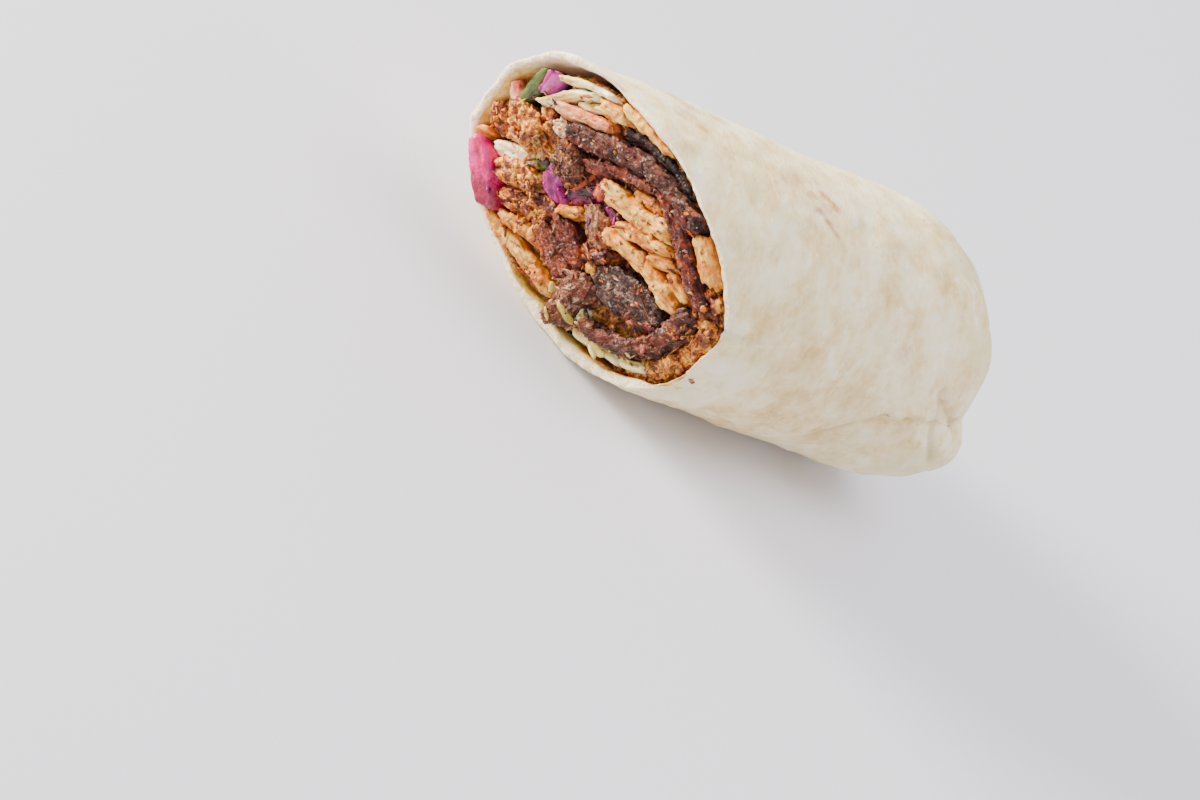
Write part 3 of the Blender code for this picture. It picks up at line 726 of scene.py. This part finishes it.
def press_and_mark(bread):
    """Presses the creases in, tears the rim, and gives the finish what it reads."""
    lines = crease_lines()
    normals = [vert.normal.copy() for vert in bread.data.vertices]
    marks = {name: [] for name in ("inside", "rim", "toast", "soak", "shade", "deep")}
    for vert, normal in zip(bread.data.vertices, normals):
        angle, place, behind, outward = skin_place(vert.co)
        facing = normal.dot(outward)
        press, low_light = 0.0, 0.0
        if facing > OUTER_FACING:
            for points, width, depth, low, high in lines:
                if low.x < place.x < high.x and low.y < place.y < high.y:
                    near = distance_to_marks(place, points) / width
                    press += depth * math.exp(-near * near)
                    # Narrow creases on the folded end get painted shade in their colour.
                    narrow = depth > DARK_CREASE_DEPTH and width < DARK_CREASE_WIDTH
                    if narrow and place.y > FOLD_FROM:
                        low_light = max(low_light, math.exp(-2 * near * near))
        freckles = 0.0
        for (mark, spot), size, strength in TOAST:
            gap = Vector((apart(angle, mark) * AROUND, place.y - spot)).length / size
            if gap < REACH:
                freckles = max(freckles, strength * math.exp(-gap * gap))
        face = ease(normal.dot(CUT_NORMAL), *RIM_FACING) * (1 - ease(behind, *RIM_DEPTH))
        marks["rim"].append(face)
        marks["toast"].append(freckles)
        radius = Vector(from_roll(vert.co)[1:]).length
        inward = ease(-facing, *INSIDE_FACING) * (1 - face)
        marks["inside"].append(inward * (1 - ease(radius, *INNER_WALL_TO)))
        soaked = 1 - ease(abs(apart(angle, SOAKED_ANGLE)), *SOAKED_SPREAD)
        marks["soak"].append(soaked * (1 - ease(radius, *STAINED_TO)))
        marks["shade"].append(low_light)
        # Darker deeper behind the cut: partly oil stain, partly painted shade.
        marks["deep"].append(ease(behind, *DARK_DEPTH))
        if press:
            vert.co -= normal * press * MM
        if behind < TORN_DEPTH[1]:
            tear = sum(noise.noise(vert.co / (size * MM)) * share for size, share in TEAR_SIZES)
            vert.co.x += tear * RIM_TEAR * (1 - ease(behind, *TORN_DEPTH)) * MM
        vert.co = [min(max(value, low), high) for value, low, high in zip(vert.co, *CAD_BOX)]
    for name, values in marks.items():
        give_values(bread, name, values)


def make_bread():
    """The flatbread: its cut rim kept sharp, its skin swollen, dented and creased."""
    bread = copy_of("flatbread", "bread_roll")
    edit(bread)
    bpy.ops.mesh.select_mode(type="EDGE")
    bpy.ops.mesh.select_all(action="DESELECT")
    bpy.ops.mesh.edges_select_sharp(sharpness=SHARP_EDGE)
    bpy.ops.transform.edge_crease(value=RIM_SHARPNESS)
    leave()
    finish_with(bread, "SUBSURF", levels=2, render_levels=2)
    refine_corner(bread)
    roughen(bread, BREAD_SWELL, SWELL_HEIGHT, SWELL_LEVEL)
    roughen(bread, BREAD_DENTS, DENT_HEIGHT, along=Vector((0, 0, 1)), stretch=DENT_STRETCH)
    press_and_mark(bread)
    dress(bread, FINISHES["flatbread"], "flatbread", "flatbread")


# The filling.

# How each kind of strip is worked, in millimetres: warp, swell, lumps, strands and grain.
WORKED = {
    "beef": (1.5, 0.35, 0.9, 0.8, 0.5), "beef_tan": (1.8, 0.4, 1.3, 0.8, 0.6),
    "beef_red": (1.5, 0.35, 0.9, 0.9, 0.5), "char": (1.4, 0.3, 0.8, 0.5, 0.6),
    "chicken": (1.3, 0.4, 0.6, 0.6, 0.2), "chicken_pink": (1.0, 0.4, 0.6, 0.4, 0.2),
    "crisp": (2.6, 0.7, 2.4, 0.9, 0.3), "cabbage": (0.9, 0.15, 0.4, 0.3, 0.1),
    "red_cabbage": (1.0, 0.3, 0.4, 0.5, 0.1), "bright_cabbage": (0.8, 0.25, 0.3, 0.3, 0.1),
    "turnip": (0.5, 0.1, 0.4, 0.2, 0.25), "pickle": (0.5, 0.1, 0.3, 0.2, 0.1),
    "tomato": (0.8, 0.2, 0.5, 0.2, 0.2), "pepper": (0.8, 0.1, 0.4, 0.2, 0.15),
    "onion": (0.8, 0.25, 0.4, 0.4, 0.1),
}
STRIP_FINISH = {
    "beef_chunk": "beef_tan", "beef_crumb": "beef_tan", "beef_gray": "beef_tan", "beef_slab_1": "beef_red",
    "beef_slab_2": "beef_red", "beef_inner": "beef_red", "beef_thin": "beef_red", "beef_short": "beef_red",
    "chicken_pink": "chicken_pink", "chicken_pale_top": "chicken_pink",
    "red_cabbage_top": "bright_cabbage", "red_cabbage_1": "bright_cabbage",
}


# How far a strip's fine part reaches into its plain part.
STRIP_OVERLAP = 1.0
# How far behind the cut a strip starts to darken with painted shade, and where the painted shade is
# darkest.
STRIP_DARK = (1.0, 4.6)
# A strip that climbs less than this counts as level; the others run downwards.
LEVEL_SLOPE = 0.3
SMOOTH_BY = 0.5
SMOOTH_TIMES = 3
# How far each strip is shifted in the textures, so that two strips differ.
DRIFT = 0.1
# What counts as a strip's face when its long way is measured.
FACE_DEPTH = 3.5
STRAND_STRETCH = 4.0
RUN_SCALE = 0.22
CURD_HEIGHT = -0.45


def kind_of(node):
    """The material slot that the record gives a node."""
    for part in frame["record"]["subparts"]:
        if part["node"] == node:
            return part["material_slot"]
    raise ValueError(node)


def side_walls(piece):
    """The piece's long sides alone, to measure how far a point of its face is from them."""
    mesh = piece.data
    faces = [tuple(face.vertices) for face in mesh.polygons if abs(face.normal.x) < 0.2]
    return BVHTree.FromPolygons([vert.co for vert in mesh.vertices], faces)


def long_way(piece):
    """The middle of a strip's face on the section, the way it runs there, and half its length."""
    spots = []
    for vert in piece.data.vertices:
        along, y, z = from_roll(vert.co)
        if along - cut_along(y, z) < FACE_DEPTH:
            spots.append(Vector(roll_to_section(y, z)))
    middle = sum(spots, Vector((0, 0))) / len(spots)
    xx = sum((spot.x - middle.x) ** 2 for spot in spots)
    yy = sum((spot.y - middle.y) ** 2 for spot in spots)
    xy = sum((spot.x - middle.x) * (spot.y - middle.y) for spot in spots)
    turn = 0.5 * math.atan2(2 * xy, xx - yy)
    run = Vector((math.cos(turn), math.sin(turn)))
    if run.y > LEVEL_SLOPE * abs(run.x):
        run = -run
    half = max(abs((spot - middle).dot(run)) for spot in spots)
    return middle, run, half


def make_strip(node):
    """A strip of filling: worked finely at the cut, and left plain farther in, where nothing shows."""
    slot = kind_of(node)
    finish = STRIP_FINISH.get(node, slot)
    warp, swell, lumps, strands, grain = WORKED[finish]
    rng = random.Random(node)
    front = copy_of(node, "front")
    walls = side_walls(front)
    middle, run, half = long_way(front)
    lengthwise = (at_cut(*(middle + run)) - at_cut(*middle)).normalized()
    back = front.copy()
    back.data = front.data.copy()
    bpy.context.scene.collection.objects.link(back)
    cut_off(front, FINE_DEPTH, True)
    cut_off(back, FINE_DEPTH - STRIP_OVERLAP, False)
    finish_with(front, "REMESH", mode="VOXEL", voxel_size=FINE_CLAY * MM)
    finish_with(front, "SMOOTH", factor=SMOOTH_BY, iterations=SMOOTH_TIMES)
    drift = Vector([rng.uniform(-DRIFT, DRIFT) for _ in range(3)])
    front.data.transform(Matrix.Translation(drift))
    roughen(front, WARP, warp, direction="RGB_TO_XYZ")
    roughen(front, LUMPS, lumps, 0.5 - swell / lumps * 0.5)
    if finish == "beef_tan":
        roughen(front, CURDS, CURD_HEIGHT)
    roughen(front, STRANDS, strands, along=lengthwise, stretch=STRAND_STRETCH)
    roughen(front, GRAIN, grain)
    front.data.transform(Matrix.Translation(-drift))
    side = Vector((-run.y, run.x))
    edge, deep, along_it, runs = [], [], [], []
    for vert in front.data.vertices:
        along, y, z = from_roll(vert.co)
        behind = along - cut_along(y, z)
        _, _, _, gap = walls.find_nearest(vert.co)
        spot = Vector(roll_to_section(y, z)) - middle
        edge.append(gap / MM if gap is not None else 0.0)
        # Painted shade, darker deeper behind the cut.
        deep.append(ease(behind, *STRIP_DARK))
        along_it.append(0.5 + 0.5 * spot.dot(run) / half)
        along_run = spot.dot(run) * RUN_SCALE + middle.x
        runs.append(Vector((along_run, spot.dot(side), behind + middle.y)) * MM)
    give_values(front, "edge", edge)
    give_values(front, "deep", deep)
    give_values(front, "lengthwise", along_it)
    give_values(front, "tone", [rng.random()] * len(edge))
    give_places(front, "run", runs)
    # The plain part farther in gets full painted shade.
    give_values(back, "deep", [1.0] * len(back.data.vertices))
    return dress(join([front, back], "strip_" + node), FINISHES[finish], slot, node)


# How far behind the cut the crumbs between the strips lie: in the middle and by the bread.
BED_DEPTH = 2.8
BED_DEPTH_AT_WALL = 7.5
BED_THICKNESS = 3
BED_CLAY = 0.36
# The gap that the bed keeps to the bread, and how far past the plain radius it may reach.
BED_GAP = 0.3
BED_OVER = 1
# From how far behind the middle of the cut the room inside the bread is measured.
PROBE_DEPTH = 6
# Where the bed hollows: shares of the radius, and places across the cut.
HOLLOW_SHARE = (0.72, 1.0)
HOLLOW_ACROSS = (-6, 10)
# Where the bed turns golden: to the left, low down, and somewhat less by the bread.
GOLDEN_LEFT = (-2, 12)
GOLDEN_LOW = (12, 22)
GOLDEN_BY_BREAD = (23, 28)
GOLDEN_BREAD_SHARE = 0.8


def make_bed():
    """The crumbs and sauce between the strips: an uneven layer a little behind the cut."""
    bpy.ops.object.select_all(action="DESELECT")
    bpy.ops.mesh.primitive_cylinder_add(
        vertices=96, radius=INSIDE_RADIUS * MM, depth=BED_THICKNESS * MM, location=(0, 0, 0),
        rotation=(0, math.pi / 2, 0),
    )
    bed = bpy.context.object
    bed.name = "filling_bed"
    bpy.ops.object.transform_apply(location=True, rotation=True, scale=True)
    finish_with(bed, "TRIANGULATE")
    finish_with(bed, "REMESH", mode="VOXEL", voxel_size=BED_CLAY * MM)
    bread = frame["nodes"]["flatbread"].data
    walls = BVHTree.FromPolygons(
        [vert.co for vert in bread.vertices], [tuple(face.vertices) for face in bread.polygons],
    )
    for vert in bed.data.vertices:
        thick, y, z = vert.co.x / MM, vert.co.y / MM, vert.co.z / MM
        radius = math.hypot(y, z)
        share = radius / INSIDE_RADIUS
        if radius > 1:
            start = on_roll(cut_along(y, z) + PROBE_DEPTH, 0, 0)
            _, _, _, far = walls.ray_cast(start, Vector((0, y, z)).normalized())
            room = min(far / MM - BED_GAP, INSIDE_RADIUS + BED_OVER) if far else INSIDE_RADIUS
            y, z = y / radius * share * room, z / radius * share * room
        hollow = ease(share, *HOLLOW_SHARE) * ease(-roll_to_section(y, z)[0], *HOLLOW_ACROSS)
        depth = BED_DEPTH + (BED_DEPTH_AT_WALL - BED_DEPTH) * hollow
        vert.co = on_roll(cut_along(y, z) + depth + BED_THICKNESS / 2 + thick, y, z)
    roughen(bed, LUMPS, 3.2)
    roughen(bed, CURDS, -1.2)
    roughen(bed, GRAIN, 0.8)
    tone = []
    for vert in bed.data.vertices:
        _, y, z = from_roll(vert.co)
        across, up = roll_to_section(y, z)
        golden = ease(-across, *GOLDEN_LEFT) + ease(-up, *GOLDEN_LOW)
        golden += ease(math.hypot(across, up), *GOLDEN_BY_BREAD) * GOLDEN_BREAD_SHARE
        tone.append(min(1.0, golden))
    give_values(bed, "tone", tone)
    return dress(bed, FINISHES["core"], "core")


# Loose bits on the filling: places on the section as (across, up), how far they spread, and a weight.
GOLDEN_SPOTS = (
    ((-21, 17), 3.5, 2.0), ((-14, 15), 4.5, 2.0), ((-17, 5), 4.0, 2.0), ((-16, -1), 4.5, 2.0),
    ((-24, -8), 4.0, 1.5), ((14, -24), 6.0, 2.5), ((22, -17), 5.0, 2.0), ((0, -6), 4.0, 1.2),
    ((-8, 14), 4.0, 1.2), ((0, 20), 8.0, 0.8), ((12, 2), 6.0, 0.8), ((-18, -14), 4.0, 1.2),
    ((26, -10), 3.0, 1.0),
)
MEAT_SPOTS = (
    ((4, 15), 6.0, 2.0), ((18, 12), 6.0, 2.0), ((-4, 12), 4.0, 2.0), ((-9, -7), 4.5, 2.0),
    ((6, -12), 5.5, 2.0), ((8, -21), 7.0, 2.0), ((-9, -17), 5.0, 2.0), ((22, 0), 4.0, 1.2),
    ((0, 0), 9.0, 2.0), ((-12, 8), 8.0, 1.0),
)
PALE_SPOTS = (
    ((-18, 10), 4.0, 1.5), ((14, 4), 6.0, 2.0), ((14, -6), 5.0, 2.0), ((10, 24), 6.0, 1.5),
    ((-20, -8), 4.0, 1.5), ((0, 0), 12.0, 1.5), ((27, 0), 3.0, 0.8), ((-8, 20), 5.0, 1.0),
)
GREEN_SPOTS = (
    ((-4, 26), 6.0, 2.5), ((-10, 10), 3.0, 0.8), ((-13, -19), 2.5, 1.6), ((-5, -25), 5.0, 2.5),
    ((-7, -19), 2.5, 1.2), ((4, -26), 3.0, 1.0),
)
PURPLE_SPOTS = (
    ((-8, 5), 3.0, 2.0), ((-1, 6), 4.0, 2.0), ((4, 3), 3.0, 1.0), ((-6, 26), 2.5, 1.5),
    ((-26, 0), 3.0, 1.5),
)
SAUCE_SPOTS = (
    ((-20, -15), 1.5, 2.0), ((10, -17.5), 2.5, 2.5), ((25, 6), 2.0, 1.2), ((2, 9), 2.5, 1.0),
    ((22, -14), 2.0, 1.0), ((0, -3), 8.0, 1.5), ((-20, 12), 4.0, 0.8),
)
# How much of its spread a spot really uses, and how far from the wall and how deep a bit may land.
SPREAD_SHARE = 0.6
WALL_MARGIN = 0.5
DROP_FROM = 15
DROP_TO = 24
# How much longer, wider and flatter than its shape a bit may be.
LENGTHS = (0.7, 1.6)
WIDTHS = (0.6, 1.2)
HEIGHTS = (0.4, 0.9)
# How far the bits, and the drops of sauce, tilt from the surface.
BIT_TILT = 0.5
FLAT_TILT = 0.15

# The shapes that the loose bits are copied from, each about 1 mm across.
BIT_SHAPES = 3
BIT_RADIUS = 0.5
BIT_ROUGHNESS = 0.9
# The shapes are roughened this far apart, so that each meets other noise.
BIT_SPACING = 7


def model_bits(long, flat, bend=0):
    """A few shapes of loose bit about 1 mm across, to copy."""
    shapes = []
    for number in range(BIT_SHAPES):
        bpy.ops.object.select_all(action="DESELECT")
        bpy.ops.mesh.primitive_ico_sphere_add(subdivisions=2, radius=BIT_RADIUS * MM)
        shape = bpy.context.object
        shape.data.transform(Matrix.Diagonal((long, 1.0, flat, 1.0)))
        place = Matrix.Translation((number * BIT_SPACING * MM, 0, 0))
        shape.data.transform(place)
        roughen(shape, GRAIN, BIT_ROUGHNESS)
        shape.data.transform(place.inverted())
        if bend:
            finish_with(
                shape, "SIMPLE_DEFORM", deform_method="BEND", deform_axis="Z", angle=math.radians(bend),
            )
        shapes.append(shape)
    return shapes


def scatter(name, shapes, finish, slot, surface, spots, count, sizes, sink, seed, tilt):
    """Lays copies of the shapes on the filling, as seen from in front of the cut."""
    rng = random.Random(seed)
    weights = [weight for _, _, weight in spots]
    copies = []
    while len(copies) < count:
        (across, up), spread, _ = rng.choices(spots, weights)[0]
        across += rng.gauss(0, spread * SPREAD_SHARE)
        up += rng.gauss(0, spread * SPREAD_SHARE)
        if math.hypot(across, up) > INSIDE_RADIUS - WALL_MARGIN:
            continue
        start = at_cut(across, up) + CUT_NORMAL * DROP_FROM * MM
        hit, normal, _, far = surface.ray_cast(start, -CUT_NORMAL)
        if hit is None or far > DROP_TO * MM:
            continue
        size = rng.uniform(*sizes)
        lean = (normal + Vector([rng.gauss(0, tilt) for _ in range(3)])).normalized()
        spin = Matrix.Rotation(rng.uniform(0, math.tau), 4, "Z")
        turn = lean.to_track_quat("Z", "Y").to_matrix().to_4x4() @ spin
        squash = Matrix.Diagonal([rng.uniform(*share) for share in (LENGTHS, WIDTHS, HEIGHTS)] + [1.0])
        copy = rng.choice(shapes).copy()
        copy.data = copy.data.copy()
        bpy.context.scene.collection.objects.link(copy)
        copy.data.transform(
            Matrix.Translation(hit - normal * size * sink * MM) @ turn @ Matrix.Scale(size, 4) @ squash
        )
        give_values(copy, "tone", [rng.random()] * len(copy.data.vertices))
        copies.append(copy)
    return dress(join(copies, name), FINISHES[finish], slot)


def surface_of(pieces):
    """The faces of several pieces together, to drop the bits on."""
    places, faces = [], []
    for piece in pieces:
        first = len(places)
        places.extend(vert.co for vert in piece.data.vertices)
        faces.extend(tuple(index + first for index in face.vertices) for face in piece.data.polygons)
    return BVHTree.FromPolygons(places, faces)


def make_loose_bits(pieces):
    """Crumbs, torn threads of meat, shreds and drops of sauce that fill the gaps."""
    surface = surface_of(pieces)
    crumbs = model_bits(1.1, 0.8)
    threads = model_bits(5.0, 0.6, 50)
    flakes = model_bits(2.4, 0.5, 25)
    # Each kind: its shapes, finish, slot, spots, how many, their sizes and how deep they sink in.
    kinds = (
        ("golden_crumbs", crumbs, "golden_crumbs", "crisp", GOLDEN_SPOTS, 270, (0.4, 1.25), 0.1),
        ("meat_crumbs", crumbs, "meat_crumbs", "beef", MEAT_SPOTS, 420, (0.35, 1.2), 0.15),
        ("pale_flakes", flakes, "golden_crumbs", "chicken", PALE_SPOTS, 150, (0.35, 1.0), 0.1),
        ("meat_threads", threads, "meat_crumbs", "beef", MEAT_SPOTS, 150, (0.35, 0.8), 0.0),
        ("golden_threads", threads, "golden_crumbs", "crisp", GOLDEN_SPOTS, 120, (0.35, 0.8), 0.0),
        ("green_bits", flakes, "green_bits", "cabbage", GREEN_SPOTS, 16, (0.8, 2.2), 0.0),
        ("purple_bits", flakes, "purple_bits", "red_cabbage", PURPLE_SPOTS, 14, (0.6, 1.5), 0.0),
        ("sauce_drops", flakes, "sauce", "crisp", SAUCE_SPOTS, 60, (0.8, 2.2), 0.15),
    )
    for seed, (name, shapes, finish, slot, spots, count, sizes, sink) in enumerate(kinds, 1):
        tilt = FLAT_TILT if name == "sauce_drops" else BIT_TILT
        scatter(name, shapes, finish, slot, surface, spots, count, sizes, sink, seed, tilt)
    for shape in crumbs + threads + flakes:
        bpy.data.objects.remove(shape)


def make_filling():
    """Every strip, the bed between them, and the loose bits on both."""
    pieces = [make_strip(node) for node in frame["nodes"] if node not in ("flatbread", "filling_core")]
    pieces.append(make_bed())
    make_loose_bits(pieces)


# The scene round it.

VIEW_FROM = Vector((-0.593, -0.617, 0.518))
VIEW_UP = Vector((-0.275, 0.760, 0.590))
VIEW_DISTANCE = 2.0
VIEW_ACROSS = 267.6 * MM
VIEW_SIDE = 1.45 * MM
VIEW_LOWER = 39.0 * MM
SENSOR = 36.0
NEAREST = 0.05
FARTHEST = 20.0
FLOOR_SIZE = 8.0
SKY_STRENGTH = 1.38
KEY_POWER = 62.0
FILL_POWER = 16.0


def make_camera():
    """Looks at the roll as the photograph does, from two metres away."""
    back = VIEW_FROM.normalized()
    up = (VIEW_UP - back * VIEW_UP.dot(back)).normalized()
    right = up.cross(back)
    data = bpy.data.cameras.new("camera")
    data.sensor_width = SENSOR
    data.lens = SENSOR * VIEW_DISTANCE / VIEW_ACROSS
    data.clip_start = NEAREST
    data.clip_end = FARTHEST
    camera = bpy.data.objects.new("camera", data)
    bpy.context.scene.collection.objects.link(camera)
    middle = at_cut(0, 0) + right * VIEW_SIDE - up * VIEW_LOWER
    camera.matrix_world = Matrix.Translation(middle + back * VIEW_DISTANCE) @ Matrix(
        (right, up, back)
    ).transposed().to_4x4()
    bpy.context.scene.camera = camera
    return back, up, right


def make_light(name, direction, distance, size, power, colour):
    """A round lamp that shines on the roll from this side."""
    data = bpy.data.lights.new(name, "AREA")
    data.shape = "DISK"
    data.size = size
    data.energy = power
    data.color = colour[:3]
    light = bpy.data.objects.new(name, data)
    bpy.context.scene.collection.objects.link(light)
    light.location = direction.normalized() * distance
    light.rotation_mode = "QUATERNION"
    light.rotation_quaternion = direction.to_track_quat("Z", "Y")


def make_studio():
    """A pale floor and soft light from the upper left."""
    back, up, right = make_camera()
    bpy.ops.object.select_all(action="DESELECT")
    bpy.ops.mesh.primitive_plane_add(size=FLOOR_SIZE)
    floor = bpy.context.object
    floor.name = "floor"
    plain = Finish("floor_finish")
    plain.set(Base_Color=paint(226, 224, 230), Roughness=0.6)
    floor.data.materials.append(plain.material)
    world = bpy.data.worlds.new("studio")
    world.use_nodes = True
    sky = world.node_tree.nodes["Background"]
    sky.inputs["Color"].default_value = paint(232, 231, 238)
    sky.inputs["Strength"].default_value = SKY_STRENGTH
    bpy.context.scene.world = world
    make_light("key", back * 0.35 + up * 1.0 - right * 0.75, 1.2, 0.6, KEY_POWER, paint(255, 249, 238))
    make_light("fill", back * 0.6 + right * 1.0 + up * 0.5, 1.4, 1.0, FILL_POWER, paint(250, 249, 252))


make_studio()
make_bread()
make_filling()
